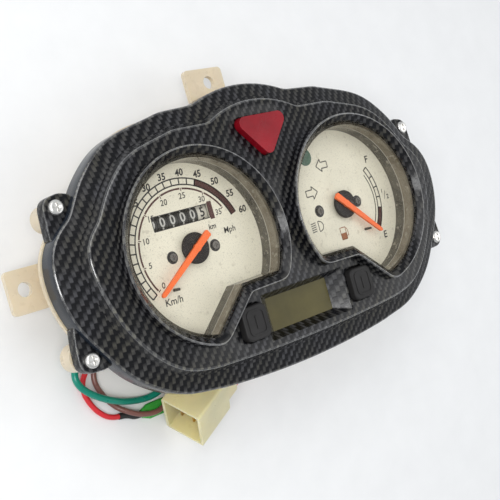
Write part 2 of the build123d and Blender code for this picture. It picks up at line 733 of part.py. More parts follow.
axis = Vector(cos(radians(PLUG_TURN)), sin(radians(PLUG_TURN)), 0)
lean = Vector(-axis.Y * cos(radians(PLUG_TILT)), axis.X * cos(radians(PLUG_TILT)), sin(radians(PLUG_TILT)))
rise = axis.cross(lean)
plug_corner = spot(*PLUG_CORNER, -DEPTH)
plug_mouth = plug_corner + lean * (PLUG_WIDE / 2) + rise * (PLUG_THICK / 2)


def plug_plane(along):
    """Plane across the connector, at a distance from its mouth."""
    return Plane(plug_mouth + axis * along, x_dir=lean, z_dir=axis)


ways = [(i * WAY_PITCH[0], j * WAY_PITCH[1]) for i in (-1, 0, 1) for j in (-1, 0, 1)]
with BuildPart() as connector_housing:
    with BuildSketch(plug_plane(0)):
        RectangleRounded(PLUG_WIDE, PLUG_THICK, 1.2)
    extrude(amount=PLUG_FRONT)
    with BuildSketch(plug_plane(PLUG_FRONT - 0.1)):
        RectangleRounded(PLUG_WIDE - 4.4, PLUG_THICK - 3.6, 1.2)
    extrude(amount=PLUG_REAR + 0.1)
    with BuildSketch(plug_plane(0)):
        RectangleRounded(PLUG_WIDE - 2.6, PLUG_THICK - 2.6, 0.8)
    extrude(amount=CAVITY_START + 0.5, mode=Mode.SUBTRACT)
    with BuildSketch(plug_plane(CAVITY_START)):
        with Locations(*ways):
            Rectangle(5.2, 4.2)
    extrude(amount=CAVITY_END - CAVITY_START, mode=Mode.SUBTRACT)
finish(connector_housing, "connector_housing")

with BuildPart() as connector_terminals:
    with BuildSketch(plug_plane(7)):
        with Locations(*ways):
            Rectangle(4.8, 0.8)
    extrude(amount=CAVITY_END - 7)
finish(connector_terminals, "connector_terminals")


# Wires. Each route is a list of places on the face and heights; each bend takes 0.45 of its shorter run.
def bend_radii(route):
    """One radius for each corner of a route."""
    radii = []
    for before, here, after in zip(route, route[1:], route[2:]):
        arriving = here - before
        leaving = after - here
        turn = radians(arriving.get_angle(leaving))
        radii.append(0.45 * min(arriving.length, leaving.length) / tan(turn / 2))
    return radii


def wire(route, diameter, name):
    """A round wire along straight runs joined by arcs."""
    radii = bend_radii(route)
    with BuildPart() as lead:
        with BuildLine():
            path = FilletPolyline(*route, radius=radii)
        with BuildSketch(Plane(path @ 0, z_dir=path % 0)):
            Circle(diameter / 2)
        sweep(path=path)
    expected = path.length * pi * diameter**2 / 4
    print(name, "radii", [round(r, 1) for r in radii], "length", round(path.length, 1),
          "volume/expected", round(lead.part.volume / expected, 4))
    finish(lead, name)


def places(*route):
    """Points from places on the face and heights."""
    return [spot(*point) for point in route]


def grommet_exit(grommet, angle, out):
    """Point on a grommet's lower face, at an angle and a distance from its middle."""
    x, y = GROMMETS[grommet]
    return spot(x + out * cos(radians(angle)), y + out * sin(radians(angle)), GROMMET_FACE)


def beside_plug(*route):
    """Points from the distance along the connector, the distance from the edge it lies on, and the height."""
    across = Vector(-axis.Y, axis.X, 0)
    return [spot(*PLUG_CORNER, height) + axis * along + across * aside for along, aside, height in route]


def plug_entry(way, along=PLUG_FRONT + PLUG_REAR):
    """Point on the connector's rear face, behind one of its ways."""
    x, y = ways[way]
    return plug_mouth + axis * along + lean * x + rise * y


TEAL_D = 3.0
THIN_D = 2.4
LEAD_HEIGHT = -54.4      # the flat lead and its sleeve, just clear of the floor
SLEEVE_START = -70.2
SLEEVE_Y = -64.5
teal_out = grommet_exit(0, 141, 2.3)
brown_out = grommet_exit(0, -39, 2.3)
lamp_out = grommet_exit(0, 231, 2.8)
blue_out = grommet_exit(1, 90, 1.8)
red_out = grommet_exit(1, 270, 1.8)
lamp_end = spot(-81.0, -61.7, -54.6)

wire([teal_out, teal_out - Vector(0, 0, 3.6)]
     + places((-83.6, -22.3, -47.1), (-90.5, -29.2, -49.2), (-95.7, -33.2, -49.3), (-99.0, -37.9, -48.6),
              (-97.3, -43.7, -48.6), (-91.1, -49.3, -49.2), (-83.3, -54.0, -49.8), (-74.2, -57.2, -53.0),
              (-65.0, -59.0, -54.4))
     + beside_plug((9, 13.8, -54.4), (19, 14.0, -54.4), (29, 15.3, -54.4), (37.6, 15.3, -54.4),
                   (43.0, 11.7, -52.7), (45.1, 5.9, -50.0), (43.0, 0.2, -47.3))
     + [plug_entry(1, 37.6), plug_entry(1)], TEAL_D, "teal_wire")
wire([brown_out, brown_out - Vector(0, 0, 4.4)]
     + places((-80.4, -26.0, -49.3), (-82.0, -32.5, -53.8), (-86.2, -37.9, -54.7), (-87.8, -44.1, -54.7),
              (-85.4, -50.8, -54.7), (-81.9, -56.6, -54.6), (-77.9, -60.6, -52.0), (-71.5, -64.4, -50.6),
              (-62.4, -65.9, -50.6))
     + beside_plug((13, 8.6, -53.0), (20, 6.7, -54.7), (27, 5.6, -54.7), (36, 4.9, -54.7), (40.3, 6.3, -51.9),
                   (41.9, 8.5, -47.4), (40.3, 10.7, -43.0))
     + [plug_entry(6, 36.0), plug_entry(6)], THIN_D, "brown_wire")
wire([blue_out, blue_out - Vector(0, 0, 4.8)]
     + places((12.0, -40.8, -48.8), (5.0, -46.5, -50.5), (-4.5, -54.0, -48.5), (-12.5, -59.0, -43.5),
              (-18.5, -60.3, -38.5))
     + [plug_entry(5, 37.5), plug_entry(5)], THIN_D, "blue_wire")
wire([red_out, red_out - Vector(0, 0, 4.8)]
     + places((12.2, -44.8, -49.0), (5.0, -51.0, -51.5), (-4.0, -58.0, -51.0), (-12.5, -62.8, -47.0))
     + [plug_entry(2, 39.0), plug_entry(2)], THIN_D, "red_wire")

# Lamp lead: thin red wire, heat-shrink, and a flat tab terminal in a clear sleeve
wire([lamp_out, lamp_out - Vector(0, 0, 4.4)]
     + places((-84.0, -27.4, -49.3), (-87.1, -34.5, -53.8), (-90.7, -38.6, -54.6), (-93.6, -43.0, -54.6),
              (-93.7, -47.9, -54.6), (-91.9, -53.0, -54.6), (-89.3, -57.2, -54.6), (-85.0, -61.0, -54.6))
     + [lamp_end], THIN_D, "lamp_lead")
wire([lamp_end] + places((-77.0, -62.4, -54.6), (-73.6, -64.3, -54.4), (SLEEVE_START - 0.1, SLEEVE_Y, -54.4)),
     2.8, "heat_shrink")


def across_lead(along):
    """Plane across the flat lead, at a distance from the start of its sleeve."""
    return Plane(spot(SLEEVE_START + along, SLEEVE_Y, LEAD_HEIGHT), x_dir=(0, 1, 0), z_dir=(1, 0, 0))


with BuildPart() as lead_sleeve:
    with BuildSketch(across_lead(0)):
        RectangleRounded(3.6, 3.0, 1.4)
    with BuildSketch(across_lead(3.6)):
        RectangleRounded(6.8, 3.0, 1.4)
    loft()
    with BuildSketch(across_lead(3.6)):
        RectangleRounded(6.8, 3.0, 1.4)
    extrude(amount=9.2)
    with BuildSketch(across_lead(4.2)):
        RectangleRounded(5.6, 1.8, 0.8)
    extrude(amount=9, mode=Mode.SUBTRACT)
finish(lead_sleeve, "lead_sleeve")

with BuildPart() as lead_terminal:
    with BuildSketch(level(LEAD_HEIGHT - 0.4)):
        with Locations((SLEEVE_START + 10.0, SLEEVE_Y)):
            Rectangle(11.2, 4.8)
            chamfer(vertices().sort_by(Axis.X)[-2:], 1.2)
            with Locations((3.4, 0)):
                Circle(0.8, mode=Mode.SUBTRACT)
    extrude(amount=0.8)
finish(lead_terminal, "lead_terminal")
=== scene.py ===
import bmesh
import bpy
from math import atan2, cos, hypot, pi, radians, sin, sqrt, tan
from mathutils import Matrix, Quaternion, Vector


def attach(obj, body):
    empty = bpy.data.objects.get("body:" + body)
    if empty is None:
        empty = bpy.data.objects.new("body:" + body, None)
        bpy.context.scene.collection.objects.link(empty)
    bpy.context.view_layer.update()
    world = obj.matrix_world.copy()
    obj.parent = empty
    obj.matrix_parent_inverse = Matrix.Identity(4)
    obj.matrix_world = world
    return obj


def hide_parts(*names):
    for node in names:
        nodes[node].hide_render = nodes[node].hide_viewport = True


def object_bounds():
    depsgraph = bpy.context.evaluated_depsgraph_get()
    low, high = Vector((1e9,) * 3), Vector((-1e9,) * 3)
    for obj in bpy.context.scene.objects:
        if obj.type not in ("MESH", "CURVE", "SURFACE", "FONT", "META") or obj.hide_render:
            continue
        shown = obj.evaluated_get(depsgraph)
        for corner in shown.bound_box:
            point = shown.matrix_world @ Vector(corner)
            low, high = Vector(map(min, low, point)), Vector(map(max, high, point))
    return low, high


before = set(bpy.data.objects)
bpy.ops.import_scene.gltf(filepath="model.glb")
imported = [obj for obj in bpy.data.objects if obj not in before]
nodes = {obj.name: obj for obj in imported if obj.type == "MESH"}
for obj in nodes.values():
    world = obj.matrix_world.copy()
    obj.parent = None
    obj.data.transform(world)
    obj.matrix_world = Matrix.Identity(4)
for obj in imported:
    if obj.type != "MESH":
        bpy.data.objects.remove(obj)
cad_low, cad_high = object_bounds()
MM = 0.001

# The part's own dimensions, mm, as part.py has them. Heights are measured from the collar rims.
DEPTH = 56.0
FACE_Y = -8.1
GAUGE_X = 45.9
WINDOW_R = 38.5
COLLAR_WALL = 3.5
PLATEAU = -6.0
CREASE = -10.0
BAND_EDGE = -12.4
SKIRT_FOOT = -21.8
CEILING = -8.2
DIAL_TOP = -15.4
EARS = [(102.3, 30.0), (105.6, -30.2)]
EAR_R = 5.0
EAR_TOP = -16.0
EAR_FOOT = -21.8
EAR_HOLE_R = 1.75
EAR_OUTLINES = [
    [(99.5, 35.6), (95.0, 34.5), (92.0, 30.0), (99.0, 18.0), (108.0, 17.6), (107.8, 22.0)],
    [(110.3, -25.0), (108.9, -15.6), (100.0, -18.0), (92.0, -30.0), (97.4, -35.0), (101.0, -35.4)]]
BUTTON_AT = (33.2, -37.2)
LCD_Y = -37.6
LCD_GLASS = (37.4, 15.0)
LCD_MOUTH = (50.6, 20.5)
LCD_FOOT = -12.2
DRUM_R = 7.0
DRUM_PITCH = 5.3
DRUM_Y = 14.0
DRUM_Z = -24.1
DRUM_START = -18.05
DRUM_COUNT = 6


def spot(x, y, height):
    """Point of the row frame in metres, from its place on the face and its height in millimetres."""
    return Vector((x, y + FACE_Y, height + DEPTH)) * MM


def add_object(name, data):
    """New object for a mesh, curve, light or camera, linked into the scene."""
    made = bpy.data.objects.new(name, data)
    bpy.context.scene.collection.objects.link(made)
    return made


# ---------------------------------------------------------------- materials
class Shader:
    """A node material with a Principled shader, and short calls for the nodes that feed it."""

    def __init__(self, name, **sockets):
        self.material = bpy.data.materials.new(name)
        self.material.use_nodes = True
        self.tree = self.material.node_tree
        self.shader = self.tree.nodes["Principled BSDF"]
        self.coordinates = self.tree.nodes.new("ShaderNodeTexCoord")
        for socket, value in sockets.items():
            self.put(socket.replace("_", " "), value)

    def put(self, socket, value):
        target = self.shader.inputs[socket]
        if isinstance(value, bpy.types.NodeSocket):
            self.tree.links.new(value, target)
        elif hasattr(value, "__len__"):
            target.default_value = (*value, 1.0) if target.type == "RGBA" else value
        else:
            target.default_value = value

    def node(self, kind, settings=(), **inputs):
        made = self.tree.nodes.new(kind)
        for key, value in dict(settings).items():
            setattr(made, key, value)
        for key, value in inputs.items():
            place = int(key[1:]) if key[0] == "i" and key[1:].isdigit() else key.replace("_", " ")
            target = made.inputs[place]
            if isinstance(value, bpy.types.NodeSocket):
                self.tree.links.new(value, target)
            else:
                target.default_value = value
        return made

    def place(self, which="Object"):
        return self.coordinates.outputs[which]

    def math(self, operation, a, b=0.0, clamp=False):
        made = self.node("ShaderNodeMath", {"operation": operation, "use_clamp": clamp}, i0=a, i1=b)
        return made.outputs[0]

    def noise(self, scale, detail=3.0, roughness=0.55, vector=None, distortion=0.0):
        return self.node("ShaderNodeTexNoise", {}, Vector=vector or self.place(), Scale=scale, Detail=detail,
                         Roughness=roughness, Distortion=distortion).outputs[0]

    def remap(self, value, low, high, to_low=0.0, to_high=1.0):
        made = self.node("ShaderNodeMapRange", {}, i0=value, i1=low, i2=high, i3=to_low, i4=to_high)
        return made.outputs[0]

    def mix(self, factor, a, b):
        made = self.tree.nodes.new("ShaderNodeMix")
        made.data_type = "RGBA"
        for index, value in ((0, factor), (6, a), (7, b)):
            if isinstance(value, bpy.types.NodeSocket):
                self.tree.links.new(value, made.inputs[index])
            else:
                made.inputs[index].default_value = (*value, 1.0)[:4] if hasattr(value, "__len__") else value
        return made.outputs[2]

    def bump(self, height, strength, distance):
        made = self.node("ShaderNodeBump", {}, Strength=strength, Distance=distance, Height=height)
        self.put("Normal", made.outputs[0])


def moulded(name, colour, rough=0.4, vary=0.12, grain=0.15, marks=0.0, mark_colour=(0.3, 0.2, 0.1),
            **sockets):
    """Moulded plastic, rubber or metal: cloudy colour, uneven gloss, a fine grain, and marks if any."""
    made = Shader(name, **sockets)
    cloud = made.remap(made.noise(60.0, 4.0), 0.3, 0.7)
    dark = [c * (1 - vary) for c in colour]
    light = [min(1.0, c * (1 + vary * 0.6)) for c in colour]
    shade = made.mix(cloud, dark, light)
    if marks:
        spots = made.remap(made.noise(330.0, 2.0), 0.62, 0.72, 0.0, marks)
        shade = made.mix(spots, shade, mark_colour)
    made.put("Base Color", shade)
    made.put("Roughness", made.remap(made.noise(180.0, 3.0), 0.3, 0.7, max(0.03, rough - 0.07), rough + 0.09))
    made.bump(made.noise(2400.0, 2.0), grain, 0.0001)
    return made


def wear(node_names, shader):
    """Give CAD nodes a finish and smooth shading."""
    for node_name in node_names:
        mesh = nodes[node_name].data
        mesh.materials.clear()
        mesh.materials.append(shader.material)
        smooth(mesh)


def smooth(mesh, angle=35.0):
    mesh.shade_smooth()
    mesh.set_sharp_from_angle(angle=radians(angle))


WEAVE_COLUMN = 1.63      # width of a warp thread
WEAVE_REPEAT = 5.85      # along a thread, until it comes up again


def carbon(name="carbon_print", dark=(0.004, 0.0042, 0.0055), light=(0.058, 0.058, 0.063), **sockets):
    """Glossy transfer print of a woven carbon cloth, laid by the mesh's own map in millimetres."""
    made = Shader(name, **sockets)
    flow = made.node("ShaderNodeTexNoise", {}, Vector=made.place("UV"), Scale=0.03, Detail=1.0).outputs[1]
    drift = made.node("ShaderNodeVectorMath", {"operation": "MULTIPLY_ADD"}, i0=flow, i1=(3.0, 3.0, 0.0),
                      i2=made.place("UV")).outputs[0]
    parts = made.node("ShaderNodeSeparateXYZ", {}, i0=drift)
    across = made.math("DIVIDE", parts.outputs[0], WEAVE_COLUMN)
    column = made.math("FLOOR", across)
    along = made.math("DIVIDE", parts.outputs[1], WEAVE_REPEAT)
    run = made.math("SUBTRACT", along, made.math("DIVIDE", column, 3.0))
    phase = made.math("FRACT", run)
    swell = made.math("SINE", made.math("MULTIPLY", made.math("FRACT", across), pi))
    rise = made.remap(phase, 0.0, 0.08)
    fall = made.remap(phase, 0.3, 0.6, 1.0, 0.0)
    cell = made.math("MULTIPLY", made.math("MULTIPLY", rise, fall), made.remap(swell, 0.0, 0.55, 0.25, 1.0))
    patchy = made.remap(made.noise(0.5, 3.0, vector=made.place("UV")), 0.3, 0.7, 0.5, 1.2)
    cell = made.math("MULTIPLY", cell, patchy, clamp=True)
    brown = [light[0] * 1.05, light[1], light[2] * 0.78]
    tint = made.mix(made.remap(made.noise(0.05, 2.0, vector=made.place("UV")), 0.4, 0.62), light, brown)
    made.put("Base Color", made.mix(cell, dark, tint))
    made.put("Roughness", made.remap(made.noise(0.6, 3.0, vector=made.place("UV")), 0.3, 0.75, 0.16, 0.34))
    made.bump(cell, 0.25, 0.0001)
    return made


CARBON = carbon(Specular_IOR_Level=0.2, Coat_Weight=0.12, Coat_Roughness=0.06)
# Lighter carbon print for the rounded edges: a painted highlight that stands in for the lamps' reflection
# along them.
CARBON_PAINTED_HIGHLIGHT = carbon("carbon_painted_highlight", (0.02, 0.02, 0.022), (0.12, 0.12, 0.12), Specular_IOR_Level=0.6,
                     Coat_Weight=1.0, Coat_Roughness=0.08)
SKIRT = moulded("skirt_gloss", (0.016, 0.021, 0.03), 0.2, 0.5, 0.1, marks=0.2,
                mark_colour=(0.06, 0.055, 0.03), Specular_IOR_Level=0.3, Coat_Weight=0.1, Coat_Roughness=0.06)

PRINT_BLACK = moulded("print_black", (0.028, 0.026, 0.026), 0.5, 0.25, 0.05)
PRINT_RED = moulded("print_red", (0.075, 0.022, 0.018), 0.5, 0.25, 0.05)
PRINT_ORANGE = moulded("print_orange", (0.36, 0.13, 0.05), 0.5, 0.25, 0.05)
PRINT_PALE = moulded("print_pale", (0.56, 0.55, 0.5), 0.5, 0.15, 0.05)


# ---------------------------------------------------------------- outline curves
def arc_from(start, start_direction, end, count=24):
    """Points on the arc that leaves start in a given direction and ends at end."""
    (x0, y0), (x1, y1) = start, end
    dx, dy = start_direction
    nx, ny = -dy, dx
    chord_x, chord_y = x1 - x0, y1 - y0
    bend = 2 * (chord_x * nx + chord_y * ny) / (chord_x**2 + chord_y**2)
    centre = (x0 + nx / bend, y0 + ny / bend)
    first = atan2(y0 - centre[1], x0 - centre[0])
    last = atan2(y1 - centre[1], x1 - centre[0])
    turn = (last - first + pi) % (2 * pi) - pi
    r = abs(1 / bend)
    return [(centre[0] + r * cos(first + turn * k / count), centre[1] + r * sin(first + turn * k / count))
            for k in range(count + 1)]


def spline_through(points, steps=12):
    """Smooth curve through points, evenly eased by their distances."""
    ends = [tuple(2 * a - b for a, b in zip(points[0], points[1])), *points,
            tuple(2 * a - b for a, b in zip(points[-1], points[-2]))]
    out = []
    for p0, p1, p2, p3 in zip(ends, ends[1:], ends[2:], ends[3:]):
        t1 = hypot(p1[0] - p0[0], p1[1] - p0[1]) ** 0.5
        t2 = t1 + hypot(p2[0] - p1[0], p2[1] - p1[1]) ** 0.5
        t3 = t2 + hypot(p3[0] - p2[0], p3[1] - p2[1]) ** 0.5
        for k in range(steps):
            t = t1 + (t2 - t1) * k / steps
            point = []
            for axis in (0, 1):
                a1 = (t1 - t) / t1 * p0[axis] + t / t1 * p1[axis]
                a2 = (t2 - t) / (t2 - t1) * p1[axis] + (t - t1) / (t2 - t1) * p2[axis]
                a3 = (t3 - t) / (t3 - t2) * p2[axis] + (t - t2) / (t3 - t2) * p3[axis]
                b1 = (t2 - t) / t2 * a1 + t / t2 * a2
                b2 = (t3 - t) / (t3 - t1) * a2 + (t - t1) / (t3 - t1) * a3
                point.append((t2 - t) / (t2 - t1) * b1 + (t - t1) / (t2 - t1) * b2)
            out.append(tuple(point))
    return [*out, points[-1]]


def even(loop, step):
    """The closed loop again, with points at even distances."""
    closed = [*loop, loop[0]]
    marks = [0.0]
    for a, b in zip(closed, closed[1:]):
        marks.append(marks[-1] + hypot(b[0] - a[0], b[1] - a[1]))
    count = max(8, round(marks[-1] / step))
    out, at = [], 0
    for k in range(count):
        want = marks[-1] * k / count
        while marks[at + 1] < want:
            at += 1
        share = (want - marks[at]) / (marks[at + 1] - marks[at])
        a, b = closed[at], closed[at + 1]
        out.append((a[0] + (b[0] - a[0]) * share, a[1] + (b[1] - a[1]) * share))
    return out


def soften(loop, passes):
    """The loop with its corners eased, a little more with each pass."""
    for _ in range(passes):
        loop = [((a[0] + 2 * b[0] + c[0]) / 4, (a[1] + 2 * b[1] + c[1]) / 4)
                for a, b, c in zip([loop[-1], *loop[:-1]], loop, [*loop[1:], loop[0]])]
    return loop


def normals_of(loop):
    """Unit outward normals of a loop that runs anticlockwise."""
    out = []
    for a, c in zip([loop[-1], *loop[:-1]], [*loop[1:], loop[0]]):
        dx, dy = c[0] - a[0], c[1] - a[1]
        size = hypot(dx, dy)
        out.append((dy / size, -dx / size))
    return out


def edge_loop(edge, step=1.0, passes=5):
    """One of the bezel's edges, as a loop."""
    shoulder, side, top, dip, foot = edge

    def curve(table):
        return [(GAUGE_X + r * cos(radians(a)), r * sin(radians(a))) for a, r in table]

    brow, flank = curve(shoulder), curve(side)
    right = arc_from((0, top), (1, 0), dip) + spline_through(brow) + spline_through(flank)[1:]
    right += list(reversed(arc_from((0, foot), (1, 0), flank[-1])))[1:]
    left = [(-x, y) for x, y in right[1:-1]]
    return soften(even(list(reversed(right)) + left, step), passes)


def gauge_loop(side, step=0.8, passes=10):
    """A gauge opening: a circle cut off by the ledge that the buttons stand on."""
    left_y, knee, low = -20.6, (-11.5, -21.0), (9.0, -39.2)
    dx, dy = low[0] - knee[0], low[1] - knee[1]
    b = knee[0] * dx + knee[1] * dy
    a = dx * dx + dy * dy
    along = (-b + sqrt(b * b - a * (knee[0] ** 2 + knee[1] ** 2 - WINDOW_R**2))) / a
    meet = (knee[0] + dx * along, knee[1] + dy * along)
    first = atan2(meet[1], meet[0])
    last = pi + atan2(-left_y, sqrt(WINDOW_R**2 - left_y**2))
    angles = [first + (last - first) * k / 160 for k in range(161)]
    loop = [(WINDOW_R * cos(a), WINDOW_R * sin(a)) for a in angles] + [knee]
    loop = soften(even(loop, step), passes)
    loop = [(side * (GAUGE_X + x), y) for x, y in loop]
    return loop if side > 0 else list(reversed(loop))


def rounded(corners, radius, arc=6):
    """Loop through corners rounded by a radius, anticlockwise."""
    out = []
    for before, here, after in zip([corners[-1], *corners[:-1]], corners, [*corners[1:], corners[0]]):
        corner = Vector(here)
        to_before = (Vector(before) - corner).normalized()
        to_after = (Vector(after) - corner).normalized()
        half = to_before.angle(to_after) / 2
        reach = radius / tan(half)
        middle = corner + (to_before + to_after).normalized() * (radius / sin(half))
        start = corner + to_before * reach - middle
        end = corner + to_after * reach - middle
        first = atan2(start.y, start.x)
        turn = (atan2(end.y, end.x) - first) % (2 * pi)
        angles = [first + turn * k / arc for k in range(arc + 1)]
        out += [(middle.x + radius * cos(a), middle.y + radius * sin(a)) for a in angles]
    return out


def box_corners(x, y, wide, high):
    return [(x - wide / 2, y - high / 2), (x + wide / 2, y - high / 2),
            (x + wide / 2, y + high / 2), (x - wide / 2, y + high / 2)]


# ---------------------------------------------------------------- bezel
class Skin:
    """A mesh made of strips between loops and flat fills, with a map in millimetres for the print."""

    def __init__(self):
        self.bm = bmesh.new()
        self.map = self.bm.loops.layers.uv.new("print")

    def face(self, verts, places, material=0):
        made = self.bm.faces.new(verts)
        made.material_index = material
        for corner, place in zip(made.loops, places):
            corner[self.map].uv = place

    def ring(self, loop, height):
        return [self.bm.verts.new(spot(x, y, height)) for x, y in loop]

    def strip(self, rings, maps, materials=None):
        """Quads between rings of the same length, the outermost or lowest first."""
        materials = materials or [0] * (len(rings) - 1)
        for k, material in enumerate(materials):
            low, high, low_map, high_map = rings[k], rings[k + 1], maps[k], maps[k + 1]
            for i in range(len(low)):
                j = (i + 1) % len(low)
                self.face((low[i], low[j], high[j], high[i]),
                          (low_map[i], low_map[j], high_map[j], high_map[i]), material)

    def profile(self, loop, steps, flat_at, materials=None):
        """Rings that follow loop at (offset, height) steps. The print meets a flat at the step flat_at."""
        normals = normals_of(loop)
        rings = [self.ring([(x + nx * off, y + ny * off) for (x, y), (nx, ny) in zip(loop, normals)], height)
                 for off, height in steps]
        run = [0.0]
        for (off_a, h_a), (off_b, h_b) in zip(steps, steps[1:]):
            run.append(run[-1] + hypot(off_b - off_a, h_b - h_a))
        flat_off = steps[flat_at][0]
        maps = []
        for length in run:
            reach = flat_off + (run[flat_at] - length)
            maps.append([(x + nx * reach, y + ny * reach) for (x, y), (nx, ny) in zip(loop, normals)])
        self.strip(rings, maps, materials)
        return rings

    def fill(self, *rings):
        """Flat surface bounded by rings, the first outside and the rest holes."""
        edges = []
        for ring in rings:
            for a, b in zip(ring, [*ring[1:], ring[0]]):
                edges.append(self.bm.edges.get((a, b)) or self.bm.edges.new((a, b)))
        made = bmesh.ops.triangle_fill(self.bm, use_beauty=True, edges=edges, normal=(0, 0, 1))
        for item in made["geom"]:
            if isinstance(item, bmesh.types.BMFace):
                if item.normal.z < 0:
                    item.normal_flip()
                for corner in item.loops:
                    co = corner.vert.co / MM
                    corner[self.map].uv = (co.x, co.y - FACE_Y)

    def object(self, name, shaders, angle=38.0):
        mesh = bpy.data.meshes.new(name)
        self.bm.normal_update()
        self.bm.to_mesh(mesh)
        self.bm.free()
        for shader in shaders:
            mesh.materials.append(shader.material)
        smooth(mesh, angle)
        made = add_object(name, mesh)
        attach(made, "cluster")
        return made


OUTER = ([(90, 59.2), (60, 58.8), (42, 58.8), (25, 59.2)],
         [(25, 59.2), (17, 63.9), (9, 66.4), (-2, 66.4), (-14, 65.0), (-27, 62.6), (-45, 62.0), (-65, 61.2),
          (-85, 60.0)], 65.7, (27.2, 60.0), -62.7)
RAISED = ([(90, 49.6), (60, 49.0), (42, 48.7), (24, 49.3)],
          [(24, 49.3), (17, 52.2), (10, 53.7), (0, 52.9), (-14, 51.6), (-30, 51.2), (-48, 51.8), (-62, 52.0),
           (-76, 50.6), (-88, 50.0)], 56.5, (26.0, 49.8), -51.3)

bezel = Skin()
outer = edge_loop(OUTER)
raised = edge_loop(RAISED)
# LIT_EDGE is the slot of the lighter edge print, a painted highlight along the rounded edges.
PRINTED, LIT_EDGE, BARE = 0, 1, 2      # the bezel's material slots
skirt = bezel.profile(outer, [
    (-2.2, BAND_EDGE - 2.4), (-2.2, SKIRT_FOOT + 0.3), (-1.9, SKIRT_FOOT), (-0.3, SKIRT_FOOT),
    (0.0, SKIRT_FOOT + 0.3), (0.0, -17.2), (0.0, BAND_EDGE - 1.0), (-0.12, BAND_EDGE - 0.55),
    (-0.4, BAND_EDGE - 0.2), (-0.9, BAND_EDGE + 0.02)], 9, [BARE] * 7 + [LIT_EDGE] * 2)
riser = bezel.profile(raised, [
    (2.3, CREASE), (1.75, CREASE + 0.15), (1.45, CREASE + 0.6), (0.45, PLATEAU - 0.95),
    (0.2, PLATEAU - 0.42), (-0.15, PLATEAU - 0.1), (-0.6, PLATEAU)], 6, [PRINTED] * 3 + [LIT_EDGE] * 3)
bezel.fill(skirt[-1], riser[0])
holes = []
for side in (1, -1):
    collar = bezel.profile(gauge_loop(side), [
        (COLLAR_WALL + 0.7, PLATEAU), (COLLAR_WALL + 0.25, PLATEAU + 0.12), (COLLAR_WALL, PLATEAU + 0.55),
        (COLLAR_WALL, -0.95), (COLLAR_WALL - 0.12, -0.42), (COLLAR_WALL - 0.42, -0.1),
        (COLLAR_WALL - 0.85, -0.1), (COLLAR_WALL - 1.25, -0.5), (0.45, -2.15), (0.12, -2.5), (0.0, -3.0),
        (0.0, CEILING)], 0, [PRINTED] * 3 + [LIT_EDGE] * 3 + [PRINTED] * 5)
    holes.append(collar[0])
    button_loop = rounded(box_corners(side * BUTTON_AT[0], BUTTON_AT[1], 14.4, 15.8), 3.4)
    holes.append(bezel.profile(button_loop, [(0.45, PLATEAU), (0.12, PLATEAU - 0.14), (0.0, PLATEAU - 0.5),
                                             (0.0, CEILING)], 0)[0])
triangle = rounded([(-17.3, 49.5), (0.0, 29.1), (17.3, 49.5)], 3.4)
holes.append(bezel.profile(triangle, [(0.4, PLATEAU), (0.1, PLATEAU - 0.12), (0.0, PLATEAU - 0.45),
                                      (0.0, CEILING)], 0)[0])
mouth = rounded(box_corners(0, LCD_Y, *LCD_MOUTH), 0.8)
throat = rounded(box_corners(0, LCD_Y, *LCD_GLASS), 0.5)
mouth_out = [(x + nx * 0.4, y + ny * 0.4) for (x, y), (nx, ny) in zip(mouth, normals_of(mouth))]
mouth_in = [(0.96 * x + 0.04 * tx, 0.96 * y + 0.04 * ty) for (x, y), (tx, ty) in zip(mouth, throat)]
funnel = [bezel.ring(mouth_out, PLATEAU), bezel.ring(mouth, PLATEAU - 0.1),
          bezel.ring(mouth_in, PLATEAU - 0.35), bezel.ring(throat, LCD_FOOT)]
bezel.strip(funnel, [mouth_out, mouth, mouth_in, throat])
holes.append(funnel[0])
bezel.fill(riser[-1], *holes)

# Screw ears: rounded corners that grow out of the skirt, each with a screw hole
for (ear_x, ear_y), outline in zip(EARS, EAR_OUTLINES):
    for side in (1, -1):
        round_end = [(ear_x + EAR_R * cos(radians(a)), ear_y + EAR_R * sin(radians(a)))
                     for a in (range(5, 90, 12) if ear_y > 0 else range(-86, 4, 12))]
        loop = [(side * x, y) for x, y in outline[-1:] + round_end + outline[:-1]]
        loop = soften(even(loop if side > 0 else list(reversed(loop)), 0.8), 3)
        rings = bezel.profile(loop, [(-0.2, EAR_FOOT), (0.0, EAR_FOOT + 0.25), (0.0, EAR_TOP - 0.5),
                                     (-0.15, EAR_TOP - 0.15), (-0.5, EAR_TOP)], 4,
                              [PRINTED] * 2 + [LIT_EDGE] * 2)
        hole_loop = [(side * ear_x + EAR_HOLE_R * cos(radians(a)), ear_y + EAR_HOLE_R * sin(radians(a)))
                     for a in range(0, 360, 15)]
        hole = bezel.profile(hole_loop, [(0.2, EAR_TOP), (0.0, EAR_TOP - 0.2), (0.0, EAR_FOOT)], 0)
        bezel.fill(rings[-1], hole[0])
bezel_cover = bezel.object("carbon_bezel", [CARBON, CARBON_PAINTED_HIGHLIGHT, SKIRT])
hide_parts("bezel_cover")

# ---------------------------------------------------------------- CAD nodes that stay, with their finishes
lens = Shader("lens_plastic", Roughness=0.12)
height = lens.node("ShaderNodeSeparateXYZ", {}, i0=lens.place()).outputs[2]
window = lens.remap(height, (DEPTH - 4.3) * MM, (DEPTH - 4.1) * MM)
smear = lens.remap(lens.noise(70.0, 4.0, 0.6, distortion=1.5), 0.35, 0.7)
cup_step = lens.remap(height, (DEPTH - 9.6) * MM, (DEPTH - 9.2) * MM)
